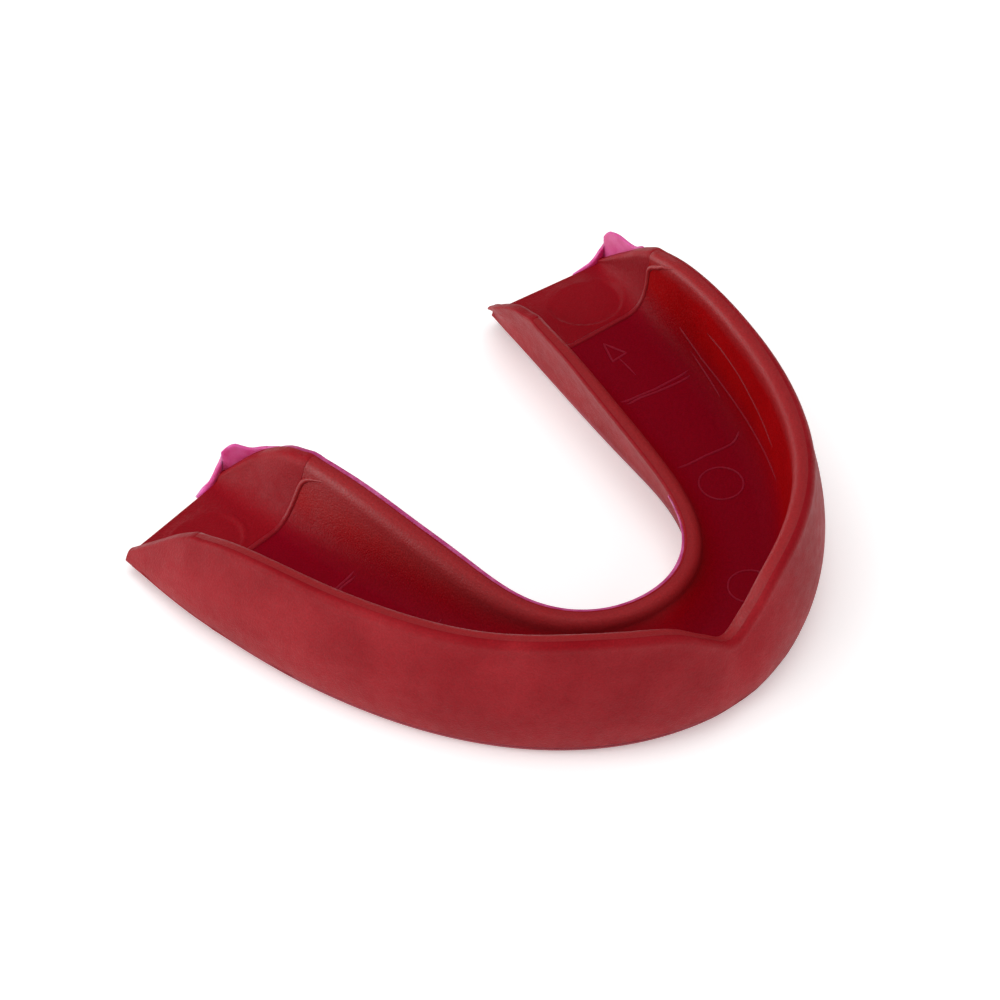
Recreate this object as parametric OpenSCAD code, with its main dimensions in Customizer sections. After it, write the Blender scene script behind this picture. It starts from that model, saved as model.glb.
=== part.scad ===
// Moulded sports mouthguard, upper jaw, tooth channel facing up.
// Origin: middle of the footprint, on the flat underside. The front of the mouth is -Y and the
// two arms run to +Y. The curves below are drawn from the front edge and moved back at the end.

/* [Arch] */
// half width of the outer base at the front of the arms
outer_half = 27.4; // [25:0.1:29]
// how much the arms spread for each mm of depth, outer side
outer_spread = 0.07; // [0.04:0.01:0.1]
// depth over which the outer front curve runs out
outer_round = 56.8; // [52:0.1:62]
// squareness of the outer front curve
outer_power = 3.3; // [2.8:0.1:3.6]
// outer depth from the front to the back ends
outer_depth = 51.3; // [47:0.1:52]
// half width between the tongue-side rims just behind the front
inner_half = 8.8; // [8:0.1:10]
// how much the arms spread for each mm of depth, tongue side
inner_spread = 0.15; // [0.12:0.01:0.17]
// where the tongue-side rim crosses the middle
inner_front = 11.0; // [10.5:0.1:12]
// where the tongue side ends at the back
inner_back = 53.4; // [52:0.1:54]

/* [Walls] */
// thickness of the floor at the teeth, liner included
floor_h = 3.2; // [3:0.1:3.6]
// thickness of the cheek wall's rim
cheek_rim_t = 2.2; // [1.9:0.1:2.5]
// thickness of the tongue wall's rim
tongue_rim_t = 1.8; // [1.6:0.1:2]
// how far the outer wall bulges at half height
bulge = 1.3; // [0:0.1:1.5]
// height of the rim at the bottom of the V notch for the lip frenulum
notch_z = 8.5; // [8:0.1:11]
// rise of the underside at the back ends
back_rise = 1.3; // [0.8:0.1:1.6]

/* [Layers] */
// thickness of the fit liner
liner_t = 0.9; // [0.7:0.1:1]
// thickness of the impact core
core_t = 0.8; // [0.6:0.1:0.9]
// how far the end zones stand above the liner
end_step = 0.3; // [0.1:0.1:0.4]
// height of the pink fins above the base
fin_top = 6.1; // [5.4:0.1:6.5]
// thickness of the left pink fin, the right one is thinner
fin_t = 0.6; // [0.5:0.1:0.7]
// thickness of the bead on the tongue-side rim
bead_t = 0.5; // [0.4:0.1:0.7]

/* [Hidden] */

red = [0.58, 0.11, 0.15];
liner_red = [0.48, 0.02, 0.04];
pink = [0.77, 0.33, 0.52];

stations = 52; // sections on each side of the middle
mid_y = (inner_back + 0.7 - 0.02 - bulge) / 2; // middle of the footprint, from the front edge
step_u = 0.888; // where the liner ends along the arm
joint_u = 0.003; // run-out of the step face
lean_h = 6.4; // the tongue wall leans less where it is lower than this

// rim heights along each half: [place along the arch, height]
cheek_height = [[0, notch_z], [0.05, mix(notch_z, 12.7, 0.4)], [0.12, 12.7], [0.2, 13.8], [0.3, 14.2],
    [0.467, 13.5], [0.661, 12.9], [0.818, 11.9], [0.902, 9.5], [0.959, 5.4], [1, 2.1]];
tongue_height = [[0, 6.9], [0.364, 6.6], [0.62, 8.4], [0.781, 9.7], [0.885, 9.2],
    [0.95, 6.2], [1, 2.3]];
// floor height in the end zones
end_floor = [[0, 0], [0.888, 0], [0.95, -0.5], [1, -1.45]];
// distance from each outer face to the flat of the floor
cheek_foot = [[0, 4.6], [0.3, 5], [0.85, 5.2], [0.95, 3.8], [1, 1.9]];
tongue_foot = [[0, 5.2], [0.3, 4.9], [0.6, 4.4], [0.85, 4.3], [0.95, 3.4], [1, 1.8]];

// smooth curve through a table of [place, value]
function seat(x, t, i = 0) = (i >= len(t) - 2 || x < t[i + 1][0]) ? i : seat(x, t, i + 1);
function slope(t, i) = i == 0 ? 0
    : i == len(t) - 1 ? (t[i][1] - t[i - 1][1]) / (t[i][0] - t[i - 1][0])
    : (t[i + 1][1] - t[i - 1][1]) / (t[i + 1][0] - t[i - 1][0]);
function along(x, t) = let (
    i = seat(x, t),
    g = t[i + 1][0] - t[i][0],
    k = (x - t[i][0]) / g)
    t[i][1] * (2 * k * k * k - 3 * k * k + 1) + slope(t, i) * g * (k * k * k - 2 * k * k + k)
    + t[i + 1][1] * (3 * k * k - 2 * k * k * k) + slope(t, i + 1) * g * (k * k * k - k * k);

function mix(a, b, k) = a + (b - a) * k;
function unit(v) = v / norm(v);

// plan curves, u from 0 at the middle to 1 at the back, side is -1 or 1
function bow(half, spread, round_d, power, y0, y) =
    (half + spread * (y - y0)) * sqrt(max(0, 1 - pow(max(0, 1 - (y - y0) / round_d), power)));
function depth(u, y0, y1) = y0 + (y1 - y0) * (1 - cos(90 * u));
function inner_u(u) = u - 0.6 * pow(u, 4) * (1 - u);
function outer_base(u, side) = let (y = depth(u, 0, outer_depth))
    [side * bow(outer_half, outer_spread, outer_round, outer_power, 0, y), y];
function outer_rim(u, side) = let (y = depth(u, -0.4, outer_depth))
    [side * bow(outer_half - 0.3, outer_spread, outer_round - 0.3, outer_power + 0.1, -0.4, y), y];
function inner_rim(u, side) = let (y = depth(inner_u(u), inner_front, inner_back))
    [side * bow(inner_half, inner_spread, 13.7, 3.05, inner_front, y), y];
function inner_base(u, side) = let (y = depth(inner_u(u), inner_front + 0.7, inner_back))
    [side * bow(inner_half + 2.8, inner_spread - 0.01, 16.4, 2.94, inner_front + 0.7, y), y];

// heights
function base_z(u) = back_rise * pow(max(0, (u - 0.68) / 0.32), 2);
function cheek_z(u) = along(u, cheek_height);
function tongue_z(u) = along(inner_u(u), tongue_height);
function zone(u) = u > step_u ? 1 : 0; // 1 in the plain end zones
function floor_z(u) = floor_h + along(u, end_floor) + end_step * zone(u) * (1 - u) / (1 - step_u);
function rim_t(u) = mix(cheek_rim_t, 1, pow(u, 6));
function tongue_t(u) = mix(tongue_rim_t, 1, pow(u, 6));
function lip(u) = min(0.6, 0.38 * (rim_t(u) - 0.6 * liner_t), 0.3 * (cheek_z(u) - floor_z(u)));
function tongue_lip(u) = min(0.4, 0.38 * (tongue_t(u) - 0.6 * liner_t), 0.3 * (tongue_z(u) - floor_z(u)));

// a point d mm in from the cheek face (or the tongue face) at height z
function cheek_face(u, side, z) = let (k = min(1, max(0, (z - base_z(u)) / (cheek_z(u) - base_z(u)))))
    mix(outer_base(u, side), outer_rim(u, side), k);
function tongue_face(u, side, z) = let (
    k = min(1, max(0, (z - base_z(u)) / (max(lean_h, tongue_z(u)) - base_z(u)))))
    mix(inner_base(u, side), inner_rim(u, side), k);
function from_cheek(u, side, d, z) = let (
    a = cheek_face(u, side, z),
    p = a + unit(tongue_face(u, side, z) - a) * d)
    [p[0], p[1], z];
function from_tongue(u, side, d, z) = let (
    a = tongue_face(u, side, z),
    p = a + unit(cheek_face(u, side, z) - a) * d)
    [p[0], p[1], z];

// outside of the section, from the cheek rim under the base to the tongue rim
function outside(u, side) = let (
    r = lip(u),
    q = tongue_lip(u),
    zc = cheek_z(u),
    zt = tongue_z(u),
    zb = base_z(u),
    fat = bulge * min(1, (zc - zb) / 10))
    concat(
        [from_cheek(u, side, r, zc), from_cheek(u, side, 0.25 * r, zc - 0.3 * r),
            from_cheek(u, side, 0, zc - r)],
        [for (f = [0.8, 0.62, 0.44, 0.27, 0.14])
            from_cheek(u, side, -4 * fat * f * (1 - f), mix(zb, zc - r, f))],
        [from_cheek(u, side, 0, zb + min(0.9, 0.3 * (zc - zb))), from_cheek(u, side, 0.3, zb + 0.2),
            from_cheek(u, side, 0.8, zb), from_cheek(u, side, 3, zb), from_tongue(u, side, 3, zb),
            from_tongue(u, side, 0.6, zb), from_tongue(u, side, 0.1, zb + 0.25)],
        [for (f = [0.2, 0.4, 0.6, 0.8]) from_tongue(u, side, 0.3 * sin(180 * f), mix(zb, zt - q, f))],
        [from_tongue(u, side, 0, zt - q), from_tongue(u, side, 0.25 * q, zt - 0.3 * q),
            from_tongue(u, side, q, zt)]);

// tooth side of the section; cut is how far it lies under the finished surface
function channel(u, side, cut, groove) = let (
    r = lip(u),
    q = tongue_lip(u),
    zc = cheek_z(u),
    zt = tongue_z(u),
    add = end_step * zone(u) * (1 - u) / (1 - step_u),
    tc = rim_t(u) - 0.6 * cut + add,
    tt = tongue_t(u) - 0.6 * cut + add,
    zf = floor_z(u) - cut,
    fc = along(u, cheek_foot) - 0.3 * cut,
    ft = along(u, tongue_foot) - 0.3 * cut,
    n = 2.8,
    m = mix(1.2, 2.3, min(1, u / 0.5)))
    concat(
        [from_cheek(u, side, tc - r, zc), from_cheek(u, side, tc - 0.25 * r, zc - 0.3 * r)],
        [for (a = [0:15:75])
            from_cheek(u, side, mix(tc, fc, 1 - pow(cos(a), 2 / n)), mix(zc - r, zf, pow(sin(a), 2 / n)))],
        [from_cheek(u, side, fc, zf), from_cheek(u, side, fc + 0.2, zf - groove),
            from_tongue(u, side, ft + 0.2, zf - groove), from_tongue(u, side, ft, zf)],
        [for (a = [78:-11.5:9])
            from_tongue(u, side, mix(tt, ft, 1 - pow(cos(a), 2 / m)), mix(zt - q, zf, pow(sin(a), 2 / m)))],
        [from_tongue(u, side, tt, zt - q), from_tongue(u, side, tt - 0.25 * q, zt - 0.3 * q),
            from_tongue(u, side, tt - q, zt)]);

function reversed(v) = [for (i = [len(v) - 1:-1:0]) v[i]];

// places along the whole arch, from the left arm's back end to the right arm's
function places(limit) = concat(
    [for (i = [stations:-1:1]) [-1, limit * i / stations]],
    [for (i = [0:stations]) [1, limit * i / stations]]);
function shell_places() = concat(
    [for (u = [1, 0.985, 0.97, 0.95, 0.93, 0.91, step_u + 0.0001]) [-1, u]],
    places(step_u - joint_u),
    [for (u = [step_u + 0.0001, 0.91, 0.93, 0.95, 0.97, 0.985, 1]) [1, u]]);

// closed solid through two matching chains of points at each place
module skin(outer, inner) {
    n = len(outer[0]);
    m = len(outer);
    ring = 2 * n;
    points = [for (k = [0:m - 1]) each [for (p = concat(outer[k], reversed(inner[k]))) p - [0, mid_y, 0]]];
    sides = [for (k = [0:m - 2], i = [0:ring - 1]) let (
        a = k * ring + i,
        b = k * ring + (i + 1) % ring)
        each [[a, b, b + ring], [a, b + ring, a + ring]]];
    caps = [for (i = [0:n - 2]) let (
        a = i,
        b = i + 1,
        c = ring - 2 - i,
        d = ring - 1 - i,
        e = (m - 1) * ring)
        each [[a, d, c], [a, c, b], [e + a, e + c, e + d], [e + a, e + b, e + c]]];
    polyhedron(points = points, faces = concat(sides, caps), convexity = 8);
}

// red moulded body: cheek wall, floor, tongue wall and the plain end zones
module outer_shell() {
    p = shell_places();
    color(red)
        skin([for (k = p) outside(k[1], k[0])],
            [for (k = p) let (deep = k[1] < step_u ? 1 : 0)
                channel(k[1], k[0], liner_t * deep, core_t * deep)]);
}

// soft red layer that takes the print of the teeth
module fit_liner() {
    p = places(step_u - joint_u);
    color(liner_red)
        skin([for (k = p) channel(k[1], k[0], liner_t, 0)],
            [for (k = p) channel(k[1], k[0], 0, 0)]);
}

// pink shock layer in the floor, under the liner
module impact_core() {
    p = places(step_u - joint_u);
    color(pink)
        skin([for (k = p) let (c = channel(k[1], k[0], liner_t, core_t)) [c[8], c[9], c[10], c[11]]],
            [for (k = p) let (
                c = channel(k[1], k[0], liner_t, 0),
                a = c[8],
                b = c[11])
                [a, mix(a, b, 0.33), mix(a, b, 0.67), b]
                    + [for (j = [0:3]) [0, 0, j % 3 == 0 ? 0.004 : 0]]]);
}

// thin bead round the tongue-side rim, from the left end past the middle
module rim_bead() {
    p = concat([for (i = [36:-1:1]) [-1, 0.94 * i / 36]], [for (i = [0:12]) [1, 0.4 * i / 12]]);
    color(pink)
        skin([for (k = p) let (z = tongue_z(k[1]) - tongue_lip(k[1]))
                [from_tongue(k[1], k[0], -0.02, z - 0.5), from_tongue(k[1], k[0], -bead_t, z - 0.4),
                    from_tongue(k[1], k[0], -bead_t, z + 0.2)]],
            [for (k = p) let (z = tongue_z(k[1]) - tongue_lip(k[1]))
                [from_tongue(k[1], k[0], -0.01, z - 0.3), from_tongue(k[1], k[0], -0.01, z - 0.1),
                    from_tongue(k[1], k[0], -0.01, z + 0.3)]]);
}

// side of a fin: up the wall's outer face to its rim, then straight up to a height
function on_tongue(u, side, d, high) = let (
    z = tongue_z(u) - tongue_lip(u),
    b = from_tongue(u, side, d, z))
    [from_tongue(u, side, d, max(base_z(u) + 0.2, z - 1.6)), b, [b[0], b[1], max(high, z + 0.1)]];
function on_cheek(u, side, d, high) = let (
    z = cheek_z(u) - lip(u),
    b = from_cheek(u, side, d, z))
    [from_cheek(u, side, d, max(base_z(u) + 0.2, z - 1.6)), b, [b[0], b[1], max(high, z + 0.1)]];

// side of a fin past a corner of the back end, s mm along the end and d mm out from it
function past_corner(a, b, s, d, high) = let (
    w = unit([b[0] - a[0], b[1] - a[1]]),
    q = w[0] < 0 ? [w[1], -w[0]] : [-w[1], w[0]],
    x = a[0] + w[0] * s + q[0] * d,
    y = a[1] + w[1] * s + q[1] * d)
    [[x, y, 1.5], [x, y, 1.7], [x, y, high]];
fin_gap = 0.02; // bond line between a fin and the wall
right_t = 0.65 * fin_t;

// pink fin outside the inner corner of the left arm
module end_fin_left() {
    a = from_tongue(1, -1, 0, tongue_z(1));
    b = from_cheek(1, -1, 0, cheek_z(1));
    wall = [[0.94, 1.9], [0.955, 1.3], [0.97, 0.4], [0.98, 0], [0.988, 0.1], [0.996, -0.6]];
    end = [[-0.02, -2], [0.6, -2.9], [1.2, -3.7], [2.2, -4.2]];
    color(pink)
        skin(concat([for (k = wall) on_tongue(k[0], -1, -fin_gap, fin_top + k[1])],
                [for (k = end) past_corner(a, b, k[0], fin_gap, fin_top + k[1])]),
            concat([for (k = wall) on_tongue(k[0], -1, -fin_gap - fin_t, fin_top + k[1])],
                [for (k = end)
                    past_corner(a, b, k[0] < 0 ? -fin_t : k[0], fin_gap + fin_t, fin_top + k[1])]));
}

// pink fin outside the outer corner of the right arm
module end_fin_right() {
    a = from_cheek(1, 1, 0, cheek_z(1));
    b = from_tongue(1, 1, 0, tongue_z(1));
    end = [[2.2, -4.2], [1.2, -3.7], [0.6, -2.9], [-0.02, -2]];
    wall = [[0.996, -0.6], [0.988, 0.1], [0.98, 0.4], [0.97, 0.6], [0.955, 0.7], [0.94, 1]];
    color(pink)
        skin(concat([for (k = end)
                    past_corner(a, b, k[0] < 0 ? -right_t : k[0], fin_gap + right_t, fin_top + k[1])],
                [for (k = wall) on_cheek(k[0], 1, -fin_gap - right_t, fin_top + k[1])]),
            concat([for (k = end) past_corner(a, b, k[0], fin_gap, fin_top + k[1])],
                [for (k = wall) on_cheek(k[0], 1, -fin_gap, fin_top + k[1])]));
}

outer_shell();
fit_liner();
impact_core();
rim_bead();
end_fin_left();
end_fin_right();
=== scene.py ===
import math

import bmesh
import bpy
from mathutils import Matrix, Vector, noise
from mathutils.bvhtree import BVHTree


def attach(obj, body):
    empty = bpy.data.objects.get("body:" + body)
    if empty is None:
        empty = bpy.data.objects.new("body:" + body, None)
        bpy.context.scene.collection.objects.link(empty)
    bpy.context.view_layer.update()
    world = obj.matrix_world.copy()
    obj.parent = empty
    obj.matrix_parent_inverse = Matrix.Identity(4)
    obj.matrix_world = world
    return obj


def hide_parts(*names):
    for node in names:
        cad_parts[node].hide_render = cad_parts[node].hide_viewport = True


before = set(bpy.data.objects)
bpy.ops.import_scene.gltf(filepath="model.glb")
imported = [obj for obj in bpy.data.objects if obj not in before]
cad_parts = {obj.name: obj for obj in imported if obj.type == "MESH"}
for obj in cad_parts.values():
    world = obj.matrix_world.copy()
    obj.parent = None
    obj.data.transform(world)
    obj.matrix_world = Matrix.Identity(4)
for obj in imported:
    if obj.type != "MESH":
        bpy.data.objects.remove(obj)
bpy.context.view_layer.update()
print("frame loaded:", sorted(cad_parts))

mm = 0.001

# the arch in mm, drawn from the front edge of the base; midY brings it to the frame's origin
arch = {
    "midY": 26.39,
    "outerHalf": 27.4, "outerSpread": 0.07, "outerRound": 56.8, "outerPower": 3.3, "outerDepth": 51.3,
    "innerHalf": 8.8, "innerSpread": 0.15, "innerFront": 11.0, "innerBack": 53.4,
    "cheekHeight": [(0, 8.5), (0.05, 10.18), (0.12, 12.7), (0.2, 13.8), (0.3, 14.2), (0.467, 13.5),
                    (0.661, 12.9), (0.818, 11.9), (0.902, 9.5), (0.959, 5.4), (1, 2.1)],
    "tongueHeight": [(0, 6.9), (0.364, 6.6), (0.62, 8.4), (0.781, 9.7), (0.885, 9.2), (0.95, 6.2), (1, 2.3)],
    "endFloor": [(0, 0), (0.888, 0), (0.95, -0.5), (1, -1.45)],
    "cheekFoot": [(0, 4.6), (0.3, 5), (0.85, 5.2), (0.95, 3.8), (1, 1.9)],
    "tongueFoot": [(0, 5.2), (0.3, 4.9), (0.6, 4.4), (0.85, 4.3), (0.95, 3.4), (1, 1.8)],
}

# the moulded section, mm
wall = {
    "floor": 3.2, "cheekRim": 2.2, "tongueRim": 1.8, "bulge": 1.3, "backRise": 1.3,
    "liner": 0.9, "core": 0.8,
    "stepAt": 0.888,      # where the liner ends along the arm
    "endStep": 0.14,      # how far the end zone's floor stands above it
    "leanHeight": 6.4,
    "rimBump": 0.22,      # small swelling where the step meets a rim
    "flashHeight": 0.85,  # parting line above the underside
    "flashProud": 0.07,
}


def along(x, table):  # smooth curve through a table of (place, value)
    i = 0
    while i < len(table) - 2 and x >= table[i + 1][0]:
        i += 1

    def slope(k):
        if k == 0:
            return 0
        a, b = table[k - 1], table[min(k + 1, len(table) - 1)]
        return (b[1] - a[1]) / (b[0] - a[0])
    g = table[i + 1][0] - table[i][0]
    k = (x - table[i][0]) / g
    return (table[i][1] * (2 * k**3 - 3 * k**2 + 1) + slope(i) * g * (k**3 - 2 * k**2 + k)
            + table[i + 1][1] * (3 * k**2 - 2 * k**3) + slope(i + 1) * g * (k**3 - k**2))


def mix(a, b, k):
    return a + (b - a) * k


def smooth(k):
    k = min(1, max(0, k))
    return k * k * (3 - 2 * k)


# plan curves: u runs from 0 at the middle to 1 at the back, side is -1 or 1
def bow(half, spread, roundDepth, power, y0, y):
    return (half + spread * (y - y0)) * math.sqrt(max(0, 1 - max(0, 1 - (y - y0) / roundDepth) ** power))


def depth(u, y0, y1):
    return y0 + (y1 - y0) * (1 - math.cos(math.pi / 2 * u))


def innerU(u):
    return u - 0.6 * u**4 * (1 - u)


def outerBase(u, side):
    y = depth(u, 0, arch["outerDepth"])
    return Vector((side * bow(arch["outerHalf"], arch["outerSpread"], arch["outerRound"],
                              arch["outerPower"], 0, y), y))


def outerRim(u, side):
    y = depth(u, -0.4, arch["outerDepth"])
    return Vector((side * bow(arch["outerHalf"] - 0.3, arch["outerSpread"], arch["outerRound"] - 0.3,
                              arch["outerPower"] + 0.1, -0.4, y), y))


def innerRim(u, side):
    y = depth(innerU(u), arch["innerFront"], arch["innerBack"])
    return Vector((side * bow(arch["innerHalf"], arch["innerSpread"], 13.7, 3.05, arch["innerFront"], y), y))


def innerBase(u, side):
    front = arch["innerFront"] + 0.7
    y = depth(innerU(u), front, arch["innerBack"])
    return Vector((side * bow(arch["innerHalf"] + 2.8, arch["innerSpread"] - 0.01, 16.4, 2.94, front, y), y))


def baseZ(u):
    return wall["backRise"] * max(0, (u - 0.68) / 0.32) ** 2


def stepSwell(u):
    return wall["rimBump"] * math.exp(-((u - wall["stepAt"] - 0.004) / 0.011) ** 2)


def cheekZ(u):
    return along(u, arch["cheekHeight"]) + stepSwell(u)


def tongueZ(u):
    return along(innerU(u), arch["tongueHeight"]) + stepSwell(u)


def endLift(u):  # the end zone's floor above the liner's
    if u < wall["stepAt"]:
        return 0
    return wall["endStep"] * (1 - (u - wall["stepAt"]) / (1 - wall["stepAt"]))


def floorZ(u):
    return wall["floor"] + along(u, arch["endFloor"]) + endLift(u)


def cheekT(u):  # thickness of each wall at its rim
    return mix(wall["cheekRim"], 1, u**6)


def tongueT(u):
    return mix(wall["tongueRim"], 1, u**6)


def rimRound(u, side):  # how far each rim is rounded: (out, in, down on the outside, down on the tooth side)
    if side == "cheek":
        thin, high = cheekT(u) - 0.6 * wall["liner"], cheekZ(u) - floorZ(u)
        out, inner = min(0.75, 0.42 * thin), min(0.9, 0.53 * thin)
        return out, inner, min(0.9, out * 1.2, 0.32 * high), min(1.1, inner * 1.3, 0.32 * high)
    thin, high = tongueT(u) - 0.6 * wall["liner"], tongueZ(u) - floorZ(u)
    out, inner = min(0.3, 0.24 * thin), min(0.92, 0.72 * thin)
    return out, inner, min(0.35, 0.25 * high), min(1.3, inner * 1.5, 0.36 * high)


def lean(z, low, high):
    return min(1, max(0, (z - low) / (high - low)))


def cheekFace(u, side, z):
    return outerBase(u, side).lerp(outerRim(u, side), lean(z, baseZ(u), cheekZ(u)))


def tongueFace(u, side, z):  # it leans less where it is low
    return innerBase(u, side).lerp(innerRim(u, side), lean(z, baseZ(u), max(wall["leanHeight"], tongueZ(u))))


def fromCheek(u, side, d, z):  # a point d mm in from the cheek face at height z
    a = cheekFace(u, side, z)
    p = a + (tongueFace(u, side, z) - a).normalized() * d
    return Vector((p.x, p.y - arch["midY"], z)) * mm


def fromTongue(u, side, d, z):
    a = tongueFace(u, side, z)
    p = a + (cheekFace(u, side, z) - a).normalized() * d
    return Vector((p.x, p.y - arch["midY"], z)) * mm


def arc(count, first=False):  # quarter turn in count steps, as (sin, cos)
    return [(math.sin(math.pi / 2 * k / count), math.cos(math.pi / 2 * k / count))
            for k in range(0 if first else 1, count + 1)]


def swell(f):  # how the outer face bulges, from 0 at the base to 1 at the rim, fullest low down
    return f**0.75 * (1 - f) ** 1.25 / 0.266 if 0 < f < 1 else 0


def outside(u, side):  # chain from the cheek rim down the face, under the base and up to the tongue rim
    zc, zt, zb = cheekZ(u), tongueZ(u), baseZ(u)
    r, _, down, _ = rimRound(u, "cheek")
    q, _, tongueDown, _ = rimRound(u, "tongue")
    fat = wall["bulge"] * min(1, (zc - zb) / 10)
    small = min(1, (zc - zb) / 4)
    zp = zb + wall["flashHeight"] * small
    low = lean(zp, zb, zc - down)
    face = -fat * swell(low)
    # the flash was trimmed by hand, so it comes and goes
    proud = wall["flashProud"] * small * (0.3 + 2 * max(0, noise.noise(Vector((side * u * 45, 2.7, 0.4)))))
    chain = [fromCheek(u, side, r * (1 - s), zc - down * (1 - c)) for s, c in arc(7, True)]
    for k in range(1, 31):
        f = mix(1, low, k / 30)
        chain.append(fromCheek(u, side, -fat * swell(f), mix(zb, zc - down, f)))
    for d, z in ((face - proud, 0.02), (face - proud, -0.07), (face + 0.07 * small, -0.13)):
        chain.append(fromCheek(u, side, d, zp + z * small))
    top = zp - 0.2 * small
    for s, c in arc(7):
        chain.append(fromCheek(u, side, mix(face + 0.09 * small, 0.55, 1 - c), mix(top, zb, s)))
    a, b = fromCheek(u, side, 0.55, zb), fromTongue(u, side, 0.6, zb)
    chain += [a.lerp(b, k / 15) for k in range(1, 16)]
    chain += [fromTongue(u, side, 0.6 - 0.6 * s, zb + 0.35 * small * (1 - c)) for s, c in arc(5)]
    for k in range(1, 19):
        f = k / 18
        chain.append(fromTongue(u, side, 0.3 * math.sin(math.pi * f),
                                mix(zb + 0.35 * small, zt - tongueDown, f)))
    chain += [fromTongue(u, side, q * (1 - c), zt - tongueDown * (1 - s)) for s, c in arc(7)]
    return chain


def hollow(u, side, cut, groove):  # tooth side from rim to rim; cut is how far under the finished surface
    zc, zt = cheekZ(u), tongueZ(u)
    _, r, _, down = rimRound(u, "cheek")
    _, q, _, tongueDown = rimRound(u, "tongue")
    tc = cheekT(u) - 0.6 * cut
    tt = tongueT(u) - 0.6 * cut
    zf = floorZ(u) - cut
    fc = along(u, arch["cheekFoot"]) - 0.3 * cut
    ft = along(u, arch["tongueFoot"]) - 0.3 * cut
    n, m = 2.8, mix(1.2, 2.3, min(1, u / 0.5))
    chain = [fromCheek(u, side, tc - r * (1 - s), zc - down * (1 - c)) for s, c in arc(6, True)]
    for k in range(1, 29):
        t = k / 29
        a = math.pi / 2 * (t - 0.11 * math.sin(2 * math.pi * t))
        chain.append(fromCheek(u, side, mix(tc, fc, 1 - math.cos(a) ** (2 / n)),
                               mix(zc - down, zf, math.sin(a) ** (2 / n))))
    a, b = fromCheek(u, side, fc, zf), fromTongue(u, side, ft, zf)
    for k in range(0, 33):
        p = a.lerp(b, k / 32)
        p.z -= groove * mm * smooth(min(k, 32 - k) / 1.5)
        chain.append(p)
    for k in range(18, 0, -1):
        t = k / 19
        a = math.pi / 2 * (t - 0.11 * math.sin(2 * math.pi * t))
        chain.append(fromTongue(u, side, mix(tt, ft, 1 - math.cos(a) ** (2 / m)),
                                mix(zt - tongueDown, zf, math.sin(a) ** (2 / m))))
    chain += [fromTongue(u, side, tt - q * (1 - c), zt - tongueDown * (1 - s)) for s, c in arc(6, True)]
    return chain


def places(limit, count):  # along the whole arch, from the left arm's back to the right arm's
    return ([(-1, limit * i / count) for i in range(count, 0, -1)]
            + [(1, limit * i / count) for i in range(0, count + 1)])


def endWay(rings, end):  # level direction straight out of a loft's end
    ring, inner = (rings[0], rings[1]) if end == 0 else (rings[-1], rings[-2])
    a, b = ring[0], ring[len(ring) // 2]
    way = Vector((a.y - b.y, b.x - a.x, 0)).normalized()
    away = sum(ring, Vector()) - sum(inner, Vector())
    return way if way.dot(away) > 0 else -way


def roundEnd(ring, outward, reach):  # extra rings that close a section's end with a rounded edge
    n = len(ring)
    rings = []
    for degrees in (25, 50, 72, 90):
        c, s = math.cos(math.radians(degrees)), math.sin(math.radians(degrees))
        rings.append([p.lerp((p + ring[n - 1 - i]) / 2, 1 - c) + outward * reach * s
                      for i, p in enumerate(ring)])
    return rings


def loft(rings, reach=0.05):  # closed skin through rings of points, its two ends rounded shut
    rings = (list(reversed(roundEnd(rings[0], endWay(rings, 0), reach * mm))) + rings
             + roundEnd(rings[-1], endWay(rings, -1), reach * mm))
    across, steps = len(rings[0]), len(rings) - 1
    bm = bmesh.new()
    tooth = bm.verts.layers.float.new("toothSide")  # 0 outside and on the rims, 1 down in the channel
    bmesh.ops.create_grid(bm, x_segments=across, y_segments=steps, size=1)
    for v in bm.verts:
        i = round((v.co.x + 1) / 2 * across) % across
        j = round((v.co.y + 1) / 2 * steps)
        v.co = rings[j][i]
        inside = i - across // 2                    # counted from the tongue rim to the cheek rim
        v[tooth] = smooth((inside - 6) / 11) * smooth((across // 2 - inside - 4) / 8)
    bmesh.ops.remove_doubles(bm, verts=bm.verts, dist=1e-7)
    bmesh.ops.recalc_face_normals(bm, faces=bm.faces)
    return bm


def addPiece(name, bm, material, slotName, *nodes, sharp=55):
    mesh = bpy.data.meshes.new(name)
    bm.to_mesh(mesh)
    bm.free()
    mesh.polygons.foreach_set("use_smooth", [True] * len(mesh.polygons))
    mesh.set_sharp_from_angle(angle=math.radians(sharp))
    mesh.materials.append(material)
    piece = bpy.data.objects.new(name, mesh)
    bpy.context.scene.collection.objects.link(piece)
    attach(piece, "root")
    if nodes:
        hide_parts(*nodes)
    print("piece", name, len(mesh.polygons), "faces")
    return piece


def toLinear(hexText, alpha=1):  # sRGB hex to the linear colour that the shader takes
    parts = [int(hexText[i:i + 2], 16) / 255 for i in (1, 3, 5)]
    return [c / 12.92 if c <= 0.04045 else ((c + 0.055) / 1.055) ** 2.4 for c in parts] + [alpha]


def addNode(tree, kind, inputs=None, **settings):
    made = tree.nodes.new(kind)
    for key, value in settings.items():
        setattr(made, key, value)
    for key, value in (inputs or {}).items():
        if isinstance(value, bpy.types.NodeSocket):
            tree.links.new(value, made.inputs[key])
        else:
            made.inputs[key].default_value = value
    return made


def newMaterial(name):
    material = bpy.data.materials.new(name)
    material.use_nodes = True
    material.node_tree.nodes.clear()
    return material, material.node_tree


# Ethylene-vinyl acetate, injection moulded in a spark-eroded mould: a satin skin with fine grain,
# cloudy patches where the pigment flowed, and a dusty sheen that lightens it at a low angle
shellFinish = {
    "deep": "#8A0A16", "worn": "#9A1C24", "lip": "#9C4650", "inner": "#8C0816",
    "patch": 8.0, "grain": 0.19, "peel": 1.1,   # mm
    "roughness": 0.56, "lipHeight": 1.1,
}
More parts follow.
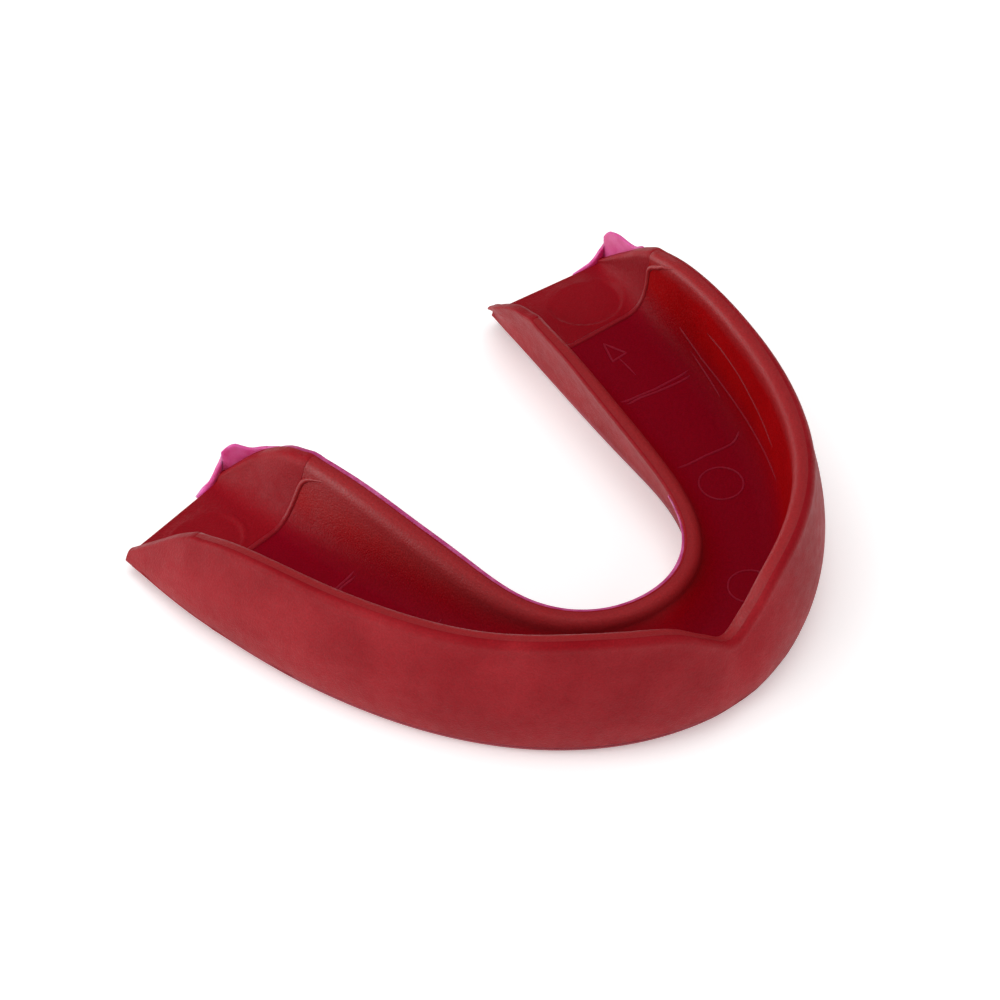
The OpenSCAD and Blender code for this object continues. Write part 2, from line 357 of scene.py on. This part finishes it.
# the softer grade in the tooth channel: same resin with less filler, so it is clearer and more saturated,
# with a painted sheen of paler dull red at the rims fading out down its walls, painted shade darkening it low
# down, and hardly any reflection below the sheen
linerFinish = {
    # floorRed is darker than the walls: painted shade for the floor deep in the channel
    "wallRed": "#960206", "floorRed": "#7E0216", "clear": "#A20408",
    "ridgeRed": "#92162C", "stepRed": "#8E1420",    # painted highlight: paler where the lines stand proud and catch the light
    # painted sheen: the paler dull red that the rims and upper walls are given
    "paintedSheenRed": "#9A2428",
    "patch": 6.0, "grain": 0.2, "peel": 0.9,
    "roughness": 0.42,
}
# unfilled pink EVA, thin enough for light to pass through it; the bead's pink is painted glow of light
# shining through the thin tongue rim from behind
pinkFinish = {"fin": ("#CE4C8C", "#DA68A4"), "bead": ("#B23E76", "#CC6498"), "core": ("#C04A84", "#CC6A9E"),
              "cloud": 1.4, "grain": 0.2, "roughness": 0.42}


def patchy(tree, place, size, detail=3):  # noise with patches of that size in mm
    return addNode(tree, "ShaderNodeTexNoise", {"Vector": place, "Scale": 1 / (size * mm), "Detail": detail,
                                                "Roughness": 0.55}).outputs["Fac"]


def grained(tree, grain, peel, fine, coarse):  # the mould's grain over a soft orange peel
    wavy = addNode(tree, "ShaderNodeBump", {"Strength": coarse, "Distance": 0.06 * mm, "Height": peel})
    return addNode(tree, "ShaderNodeBump", {"Strength": fine, "Distance": 0.06 * mm, "Height": grain,
                                            "Normal": wavy.outputs["Normal"]}).outputs["Normal"]


def speckled(tree, colour, grain, depth):  # tiny pale and dark grains in the resin
    grey = addNode(tree, "ShaderNodeMapRange", {0: grain, 1: 0.35, 2: 0.65,
                                                3: 1 - depth, 4: 1 + depth}).outputs[0]
    tone = addNode(tree, "ShaderNodeCombineColor", {0: grey, 1: grey, 2: grey}).outputs[0]
    return addNode(tree, "ShaderNodeMix", {0: 1.0, 6: colour, 7: tone}, data_type="RGBA",
                   blend_type="MULTIPLY").outputs[2]


def makeShellEva():
    s = shellFinish
    material, t = newMaterial("moulded_red_eva")
    place = addNode(t, "ShaderNodeTexCoord").outputs["Object"]
    height = addNode(t, "ShaderNodeSeparateXYZ", {0: place}).outputs["Z"]
    patch, grain, peel = (patchy(t, place, s[k]) for k in ("patch", "grain", "peel"))
    cloud = addNode(t, "ShaderNodeMapRange", {0: patch, 1: 0.35, 2: 0.68}).outputs[0]
    body = addNode(t, "ShaderNodeMix", {0: cloud, 6: toLinear(s["deep"]), 7: toLinear(s["worn"])},
                   data_type="RGBA").outputs[2]
    low = addNode(t, "ShaderNodeMapRange", {0: height, 1: (s["lipHeight"] + 0.1) * mm,
                                            2: (s["lipHeight"] - 0.15) * mm, 3: 0, 4: 0.75}).outputs[0]
    lipped = addNode(t, "ShaderNodeMix", {0: low, 6: body, 7: toLinear(s["lip"])},
                     data_type="RGBA").outputs[2]
    tooth = addNode(t, "ShaderNodeAttribute", attribute_name="toothSide").outputs["Fac"]
    colour = addNode(t, "ShaderNodeMix", {0: tooth, 6: lipped, 7: toLinear(s["inner"])},
                     data_type="RGBA").outputs[2]
    rough = addNode(t, "ShaderNodeMapRange", {0: peel, 1: 0.3, 2: 0.7, 3: s["roughness"] - 0.07,
                                              4: s["roughness"] + 0.07}).outputs[0]
    skin = addNode(t, "ShaderNodeBsdfPrincipled", {
        "Base Color": speckled(t, colour, grain, 0.11), "Roughness": rough, "IOR": 1.48,
        "Specular IOR Level": 0.18,
        "Subsurface Weight": 0.12, "Subsurface Radius": (1.0, 0.18, 0.16), "Subsurface Scale": 0.9 * mm,
        "Sheen Weight": 0.02, "Sheen Roughness": 0.4, "Sheen Tint": toLinear("#F2C9C6"),
        "Normal": grained(t, grain, peel, 0.85, 0.4)})
    addNode(t, "ShaderNodeOutputMaterial", {"Surface": skin.outputs[0]})
    return material


def makeLinerEva(name, wallRed, clear, floorRed, paintedSheenRed):  # the last colour is a painted sheen: the paler dull red given to the rims and upper walls
    s = linerFinish
    material, t = newMaterial(name)
    place = addNode(t, "ShaderNodeTexCoord").outputs["Object"]
    height = addNode(t, "ShaderNodeSeparateXYZ", {0: place}).outputs["Z"]
    patch, grain, peel = (patchy(t, place, s[k]) for k in ("patch", "grain", "peel"))
    cloud = addNode(t, "ShaderNodeMapRange", {0: patch, 1: 0.35, 2: 0.7}).outputs[0]
    depths = addNode(t, "ShaderNodeMix", {0: cloud, 6: toLinear(wallRed), 7: toLinear(clear)},
                     data_type="RGBA").outputs[2]
    tooth = addNode(t, "ShaderNodeAttribute", attribute_name="toothSide").outputs["Fac"]
    # painted sheen: near the rims the walls take the paler sheen colour, with a patchy edge, and the plain
    # reds further down
    edge = addNode(t, "ShaderNodeMath", {0: patch, 1: 0.5, 2: tooth}, operation="MULTIPLY_ADD").outputs[0]
    down = addNode(t, "ShaderNodeMapRange", {0: edge, 1: 0.3, 2: 1.15}).outputs[0]
    walls = addNode(t, "ShaderNodeMix", {0: down, 6: toLinear(paintedSheenRed), 7: depths}, data_type="RGBA").outputs[2]
    # painted shade: the colour turns to floorRed low down, from 6.5 mm down to 3.1 mm high
    low = addNode(t, "ShaderNodeMapRange", {0: height, 1: 6.5 * mm, 2: 3.1 * mm}).outputs[0]
    colour = addNode(t, "ShaderNodeMix", {0: low, 6: walls, 7: toLinear(floorRed)},
                     data_type="RGBA").outputs[2]
    rough = addNode(t, "ShaderNodeMapRange", {0: peel, 1: 0.3, 2: 0.7, 3: s["roughness"] - 0.06,
                                              4: s["roughness"] + 0.08}).outputs[0]
    shine = addNode(t, "ShaderNodeMapRange", {0: down, 1: 0, 2: 1, 3: 0.4, 4: 0.1}).outputs[0]
    skin = addNode(t, "ShaderNodeBsdfPrincipled", {
        "Base Color": speckled(t, colour, grain, 0.1), "Roughness": rough, "IOR": 1.48,
        "Specular IOR Level": shine,
        "Subsurface Weight": 0.15, "Subsurface Radius": (1.0, 0.1, 0.12), "Subsurface Scale": 1.2 * mm,
        "Normal": grained(t, grain, peel, 0.7, 0.35)})
    addNode(t, "ShaderNodeOutputMaterial", {"Surface": skin.outputs[0]})
    return material


def makePinkEva(name, tints, subsurface):
    s = pinkFinish
    material, t = newMaterial(name)
    place = addNode(t, "ShaderNodeTexCoord").outputs["Object"]
    cloud, grain = patchy(t, place, s["cloud"]), patchy(t, place, s["grain"])
    tint = addNode(t, "ShaderNodeMapRange", {0: cloud, 1: 0.38, 2: 0.66}).outputs[0]
    colour = addNode(t, "ShaderNodeMix", {0: tint, 6: toLinear(tints[0]), 7: toLinear(tints[1])},
                     data_type="RGBA").outputs[2]
    skin = addNode(t, "ShaderNodeBsdfPrincipled", {
        "Base Color": colour, "Roughness": s["roughness"], "IOR": 1.48, "Specular IOR Level": 0.4,
        "Subsurface Weight": subsurface, "Subsurface Radius": (1.0, 0.45, 0.7),
        "Subsurface Scale": 1.5 * mm, "Normal": grained(t, grain, cloud, 0.4, 0.2)})
    addNode(t, "ShaderNodeOutputMaterial", {"Surface": skin.outputs[0]})
    return material


def makePaper():  # matt white background paper, with the faint tooth that such paper has
    material, t = newMaterial("matt_white_paper")
    place = addNode(t, "ShaderNodeTexCoord").outputs["Object"]
    fibre = patchy(t, place, 0.8)
    dull = addNode(t, "ShaderNodeBump", {"Strength": 0.05, "Distance": 0.05 * mm, "Height": fibre})
    sheet = addNode(t, "ShaderNodeBsdfPrincipled", {"Base Color": toLinear("#FFFFFF"), "Roughness": 0.9,
                                                    "Emission Color": toLinear("#FFFFFF"),
                                                    "Emission Strength": 0.28,  # lifts it to plain white
                                                    "Normal": dull.outputs["Normal"]})
    addNode(t, "ShaderNodeOutputMaterial", {"Surface": sheet.outputs[0]})
    return material


f = linerFinish
shellEva = makeShellEva()
linerEva = makeLinerEva("soft_red_eva_liner", f["wallRed"], f["clear"], f["floorRed"], f["paintedSheenRed"])
# painted highlight: the raised lines and the step are given paler reds than the liner round them
ridgeEva = makeLinerEva("red_eva_ridges_painted_highlight", f["stepRed"], f["stepRed"], f["ridgeRed"], f["stepRed"])
stepEva = makeLinerEva("red_eva_step_painted_highlight", f["stepRed"], f["stepRed"], f["stepRed"], f["paintedSheenRed"])
pinkEva = makePinkEva("clear_pink_eva_fins", pinkFinish["fin"], 0.6)
# painted glow: the bead is pink only because light shines through the thin rim there
beadEva = makePinkEva("pink_eva_painted_rim_glow", pinkFinish["bead"], 0.4)
coreEva = makePinkEva("soft_pink_core_eva", pinkFinish["core"], 0.3)
print("materials made")


# outer shell
pads = {"at": [(-24.4, 47.2), (24.4, 47.2)], "radius": 3.55, "deep": 0.16, "edge": 0.16, "ridge": 0.07,
        "flat": 2.88, "slope": 0.12}


def pressed(p, u):  # the mould's ejector pins leave a flat round pad in each end zone
    if u < wall["stepAt"]:
        return p
    for x, y in pads["at"]:
        ax, ay = p.x / mm - x, p.y / mm + arch["midY"] - y
        rho = math.hypot(ax, ay)
        flat = pads["flat"] - pads["deep"] - pads["slope"] * ay
        k = smooth((pads["radius"] + pads["edge"] - rho) / (2 * pads["edge"]))
        if k > 0:
            p.z = mix(p.z, flat * mm, k)
        p.z += pads["ridge"] * mm * math.exp(-((rho - pads["radius"] - 0.3) / 0.22) ** 2)
    return p


step = wall["stepAt"]
backSteps = ([step + 0.0006, step + 0.002, step + 0.0035]
             + [mix(step + 0.0055, 0.997, i / 40) for i in range(41)])
shellPlaces = ([(-1, u) for u in reversed(backSteps)] + places(step - 0.0006, 84)
               + [(1, u) for u in backSteps])
rings = []
for side, u in shellPlaces:
    deep = u < step
    tooth = hollow(u, side, wall["liner"] * deep, wall["core"] * deep)
    rings.append(outside(u, side) + [pressed(p, u) for p in reversed(tooth)])
bm = loft(rings, reach=0.1)
shellTree = BVHTree.FromBMesh(bm)
shell = addPiece("moulded_shell", bm, shellEva, "shell", "outer_shell")

# fit liner in the tooth channel
rings = [hollow(u, side, wall["liner"], 0) + list(reversed(hollow(min(u, step - 0.00001), side, 0, 0)))
         for side, u in places(step + 0.0005, 96)]
bm = loft(rings, reach=0.01)
linerTree = BVHTree.FromBMesh(bm)
liner = addPiece("channel_liner", bm, linerEva, "liner", "fit_liner")

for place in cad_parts["impact_core"].material_slots:
    place.material = coreEva

# raised lines that the mould leaves: (x, y, z) points in mm on the right arm, laid onto the nearest
# surface; the left arm has the same ones mirrored, without the arrow
lines = {
    "floor": [[(17.0, 34.0, 3.4), (18.9, 33.7, 3.2), (20.9, 33.3, 3.2), (23.1, 33.1, 3.2),
               (24.9, 32.9, 3.6)],
              [(17.4, 33.5, 3.4), (19.1, 33.35, 3.2), (20.8, 32.9, 3.2), (23.0, 32.5, 3.2),
               (24.6, 32.3, 3.5)],
              [(15.1, 23.75, 3.5), (16.8, 23.5, 3.3), (18.4, 23.3, 3.2), (20.1, 22.95, 3.2),
               (21.3, 22.8, 3.3), (22.0, 22.9, 3.5), (22.6, 23.2, 3.9)]],
    "wall": [[(26.9, 36.4, 5.6), (26.6, 34.9, 5.4), (25.9, 32.0, 5.1), (24.9, 28.0, 5.1), (23.3, 23.1, 5.2),
              (21.2, 18.0, 5.4), (19.4, 14.6, 5.6)],
             [(26.5, 32.0, 8.2), (25.9, 29.4, 8.3), (24.8, 25.7, 8.1), (23.9, 23.0, 7.7), (22.6, 20.1, 7.4),
              (21.2, 17.2, 7.0)],
             [(26.1, 33.8, 4.7), (25.0, 30.0, 4.4), (24.2, 27.6, 4.2)]],
    "arrow": [[(21.5, 41.3, 3.2), (20.5, 38.9, 3.2), (22.3, 38.9, 3.2), (21.5, 41.3, 3.2)],
              [(21.3, 38.9, 3.2), (20.9, 36.0, 3.2)]],
    "rings": [(16.9, 19.6, 2.15), (9.6, 7.8, 2.1)],          # x, y, radius
    "wide": {"floor": 0.14, "wall": 0.1, "arrow": 0.13, "rings": 0.11, "step": 0.29},   # radius of each
    "sunk": 0.6,                                             # part of the radius under the surface
}


def laid(points, tree, radius, steps=12):  # a polyline's points, made denser and laid onto a surface
    dense = []
    for a, b in zip(points, points[1:]):
        dense += [Vector(a).lerp(Vector(b), k / steps) for k in range(steps)]
    path = []
    for x, y, z in dense + [Vector(points[-1])]:
        place, normal, _, _ = tree.find_nearest(Vector((x, y - arch["midY"], z)) * mm)
        path.append(place + (normal if normal.z > 0 else -normal) * radius * mm * (1 - 2 * lines["sunk"]))
    return path


def ridge(name, paths, radius, material, slotName):  # half-round beads along the paths, thin at their ends
    curve = bpy.data.curves.new(name, "CURVE")
    curve.dimensions, curve.bevel_depth = "3D", radius * mm
    curve.bevel_resolution, curve.use_fill_caps = 2, True
    for path in paths:
        spline = curve.splines.new("POLY")
        closed = (path[0] - path[-1]).length < 0.01 * mm
        if closed:
            path = path[:-1]
        spline.points.add(len(path) - 1)
        spline.use_cyclic_u = closed
        for k, (point, place) in enumerate(zip(spline.points, path)):
            point.co = (*place, 1)
            point.radius = 1 if closed else min(1, 0.3 + min(k, len(path) - 1 - k) / 6)
    holder = bpy.data.objects.new(name + "_curve", curve)
    bm = bmesh.new()
    bm.from_mesh(bpy.data.meshes.new_from_object(holder))
    bpy.data.objects.remove(holder)
    return addPiece(name, bm, material, slotName)


def mirrored(points):
    return [(-p[0], *p[1:]) for p in points]


wide = lines["wide"]
floorLines = lines["floor"] + [mirrored(p) for p in lines["floor"]]
ridge("liner_cross_lines", [laid(p, linerTree, wide["floor"]) for p in floorLines], wide["floor"],
      ridgeEva, "liner")
wallLines = lines["wall"] + [mirrored(p) for p in lines["wall"]]
ridge("liner_wall_lines", [laid(p, linerTree, wide["wall"]) for p in wallLines], wide["wall"],
      ridgeEva, "liner")
ridge("liner_arrow", [laid(p, linerTree, wide["arrow"], 8) for p in lines["arrow"]], wide["arrow"],
      ridgeEva, "liner")
circles = []
for x, y, r in lines["rings"] + mirrored(lines["rings"]):
    turn = [(x + r * math.cos(k * math.pi / 24), y + r * math.sin(k * math.pi / 24), 3.2) for k in range(49)]
    circles.append(laid(turn, linerTree, wide["rings"], 2))
ridge("liner_pin_rings", circles, wide["rings"], ridgeEva, "liner")


def stepLine(side):  # up each wall from the floor, swinging forward as it nears the rim
    path = []
    for k in range(3, 88):
        high = max(0, 1 - min(k, 92 - k) / 26)          # 0 on the floor to 1 at a rim
        u = step + 0.001 - 0.06 * smooth((high - 0.45) / 0.5) ** 2
        chain = hollow(u, side, 0, 0)
        path.append(chain[k].lerp(hollow(u, side, 0.2, 0)[k], 0.9))   # its middle is under the surface
    return path


ridge("step_line", [stepLine(-1), stepLine(1)], wide["step"], stepEva, "liner")

# a second thin line above the flash that the shell's own section has
seam = {"height": 1.1, "radius": 0.07}
path = []
for side, u in places(0.985, 150):
    z = max(seam["height"], baseZ(u) + 0.35)
    p = cheekFace(u, side, z)
    path.append((p.x, p.y, z))
ridge("shell_parting_line", [laid(path, shellTree, seam["radius"], 1)], seam["radius"], shellEva, "shell")

# pink bead round the tongue-side rim: painted glow of light shining through the thin rim from behind, so it
# runs only along the left arm and the front of the right arm
bead = {"out": 0.5, "frontOut": 0.28, "in": 0.25, "frontIn": 0.6, "above": 0.28, "below": 0.5,
        "leftEnd": 0.955, "rightEnd": 0.42, "points": 20}


def beadRing(u, side):
    z = tongueZ(u) - rimRound(u, "tongue")[2]
    fade = smooth((bead["rightEnd"] + 0.01 - u) / 0.3) if side > 0 else smooth((0.975 - u) / 0.05)
    out = mix(bead["frontOut"], bead["out"], smooth((u - 0.2) / 0.4)) * mix(0.3, 1, fade)
    ring = []
    for k in range(bead["points"]):
        a = 2 * math.pi * k / bead["points"]
        c, v = (math.copysign(abs(w) ** 0.7, w) for w in (math.cos(a), math.sin(a)))
        inward = mix(bead["frontIn"], bead["in"], smooth(u / 0.35)) * mix(0.3, 1, fade)
        d = mix(inward, -out, (1 - c) / 2)
        top = bead["above"] * mix(0.2, 1, fade)
        ring.append(fromTongue(u, side, d, z + mix(-bead["below"], top, (1 + v) / 2)))
    return ring


rings = [beadRing(bead["leftEnd"] * i / 110, -1) for i in range(110, 0, -1)]
rings += [beadRing(bead["rightEnd"] * i / 50, 1) for i in range(51)]
addPiece("tongue_rim_bead", loft(rings), beadEva, "bead", "rim_bead")

# pink fins bonded outside a wall and round the corner of its back end: (place, height of the free edge)
fins = {
    "left": {"wall": [(0.925, 8.6), (0.94, 8.05), (0.95, 7.55), (0.96, 6.95), (0.97, 6.4), (0.978, 6.0),
                      (0.985, 6.05), (0.991, 6.15), (0.996, 5.7), (1.0, 5.0)],
             "end": [(0.2, 3.75), (0.6, 3.2), (1.1, 2.6), (1.7, 2.1), (2.6, 1.8), (3.6, 1.6)],
             "thick": 0.6},
    "right": {"wall": [(0.925, 8.0), (0.94, 7.1), (0.95, 6.85), (0.96, 6.75), (0.97, 6.7), (0.978, 6.55),
                       (0.985, 6.3), (0.991, 6.05), (0.996, 5.6), (1.0, 5.0)],
              "end": [(0.2, 3.75), (0.6, 3.2), (1.1, 2.55), (1.7, 2.1), (2.6, 1.85), (3.6, 1.65)],
              "thick": 0.4},
    "bond": 0.12, "rimThick": 0.55,   # how far it sinks into the wall, and how it thins to its free edge
}


def finPiece(name, side, face, onto, rim, fin):
    path = []                                        # (plan point, outward way, low, rim height, free edge)
    table = [(u, z) for u, z in fin["wall"]]
    for k in range(33):
        u = mix(table[0][0], 1, k / 32)
        z = rim(u)
        p = face(u, side, z)
        path.append((p, (p - onto(u, side, z)).normalized(), max(baseZ(u) + 0.2, z - 1.6), along(u, table)))
    a, b = face(1, side, rim(1)), onto(1, side, rim(1))
    way = (b - a).normalized()
    out = Vector((-way.y, way.x)) if way.x > 0 else Vector((way.y, -way.x))
    turn = path[-1][1]
    table = [(0, along(1, table))] + fin["end"]
    for k in range(1, 8):                            # round the corner
        w = turn.lerp(out, k / 8).normalized()
        path.append((a, w, 1.5, mix(table[0][1], along(0.2, table), k / 8)))
    for k in range(1, 22):
        x = mix(0.2, table[-1][0], k / 21)
        path.append((a + way * x, out, 1.5, along(x, table)))
    rings = []
    for k, (p, w, low, high) in enumerate(path):
        fade = min(1, (k + 2) / 8, (len(path) - k + 1) / 10)
        thick, top = fin["thick"] * mix(0.4, 1, fade), fin["thick"] * fins["rimThick"] * mix(0.5, 1, fade)
        high = max(high, low + 0.1)
        ring = []
        for i in range(12):                          # up the bonded side
            f = i / 11
            ring.append((p - w * fins["bond"], mix(low, high - top / 2, f)))
        for i in range(1, 8):                        # over the rounded free edge
            t = math.pi * i / 8
            ring.append((p + w * mix(-fins["bond"], top, (1 - math.cos(t)) / 2),
                         high - top / 2 + top / 2 * math.sin(t)))
        for i in range(12):                          # and down the outside, thicker towards its foot
            f = i / 11
            ring.append((p + w * mix(top, thick, smooth(f)), mix(high - top / 2, low, f)))
        rings.append([Vector((q.x, q.y - arch["midY"], z)) * mm for q, z in ring])
    return addPiece(name, loft(rings, reach=0.1), pinkEva, "fin", "end_fin_" + name.split("_")[0])


finPiece("left_pink_fin", -1, tongueFace, cheekFace, tongueZ, fins["left"])
finPiece("right_pink_fin", 1, cheekFace, tongueFace, cheekZ, fins["right"])

# camera: far away with a long lens, from the front left and well above
camera = {"azimuth": -42.31, "elevation": 45.3, "distance": 665.13, "target": (0, -0.39, 6),
          "aside": -4.282, "up": 1.069, "lens": 252.86}
a, e = math.radians(camera["azimuth"]), math.radians(camera["elevation"])
back = Vector((math.sin(a) * math.cos(e), -math.cos(a) * math.cos(e), math.sin(e)))
right = Vector((math.cos(a), math.sin(a), 0))
upward = back.cross(right)
target = Vector(camera["target"]) * mm
eye = target + back * camera["distance"] * mm
aim = target + (right * camera["aside"] + upward * camera["up"]) * mm - eye
lens = bpy.data.cameras.new("camera")
lens.lens, lens.sensor_width = camera["lens"], 36
lens.clip_start, lens.clip_end = 0.01, 20
cameraObject = bpy.data.objects.new("camera", lens)
cameraObject.location = eye
cameraObject.rotation_euler = aim.to_track_quat("-Z", "Y").to_euler()
bpy.context.scene.collection.objects.link(cameraObject)
bpy.context.scene.camera = cameraObject

# floor
bm = bmesh.new()
bmesh.ops.create_circle(bm, cap_ends=True, segments=96, radius=4)
bmesh.ops.translate(bm, verts=bm.verts, vec=(0, 0, -0.02 * mm))
mesh = bpy.data.meshes.new("paper_floor")
bm.to_mesh(mesh)
bm.free()
mesh.materials.append(makePaper())
floor = bpy.data.objects.new("paper_floor", mesh)
bpy.context.scene.collection.objects.link(floor)

# light: a window-like softbox low at the back left gives the sheen, and broad soft lights that leave no
# reflection of their own lift the shadows
lamps = {
    "sideWindow": {"at": (-0.87, 0.56, 0.28), "size": 0.5, "watts": 5.5, "shine": True},
    "overhead": {"at": (-0.1, 0.1, 1.1), "size": 1.0, "watts": 7.5, "shine": False},
    "frontFill": {"at": (0.1, -1.0, 0.5), "size": 0.8, "watts": 3.4, "shine": False},
}
for name, lamp in lamps.items():
    light = bpy.data.lights.new(name, "AREA")
    light.shape, light.size, light.energy = "SQUARE", lamp["size"], lamp["watts"]
    holder = bpy.data.objects.new(name, light)
    holder.location = lamp["at"]
    holder.rotation_euler = (target - Vector(lamp["at"])).to_track_quat("-Z", "Y").to_euler()
    holder.visible_glossy = lamp["shine"]
    bpy.context.scene.collection.objects.link(holder)
world = bpy.data.worlds.new("studio")
world.use_nodes = True
world.node_tree.nodes["Background"].inputs["Color"].default_value = (1, 1, 1, 1)
world.node_tree.nodes["Background"].inputs["Strength"].default_value = 0.25
world.cycles_visibility.glossy = False
bpy.context.scene.world = world
bpy.context.scene.view_settings.view_transform = "Standard"
print("camera, floor and lights ready")
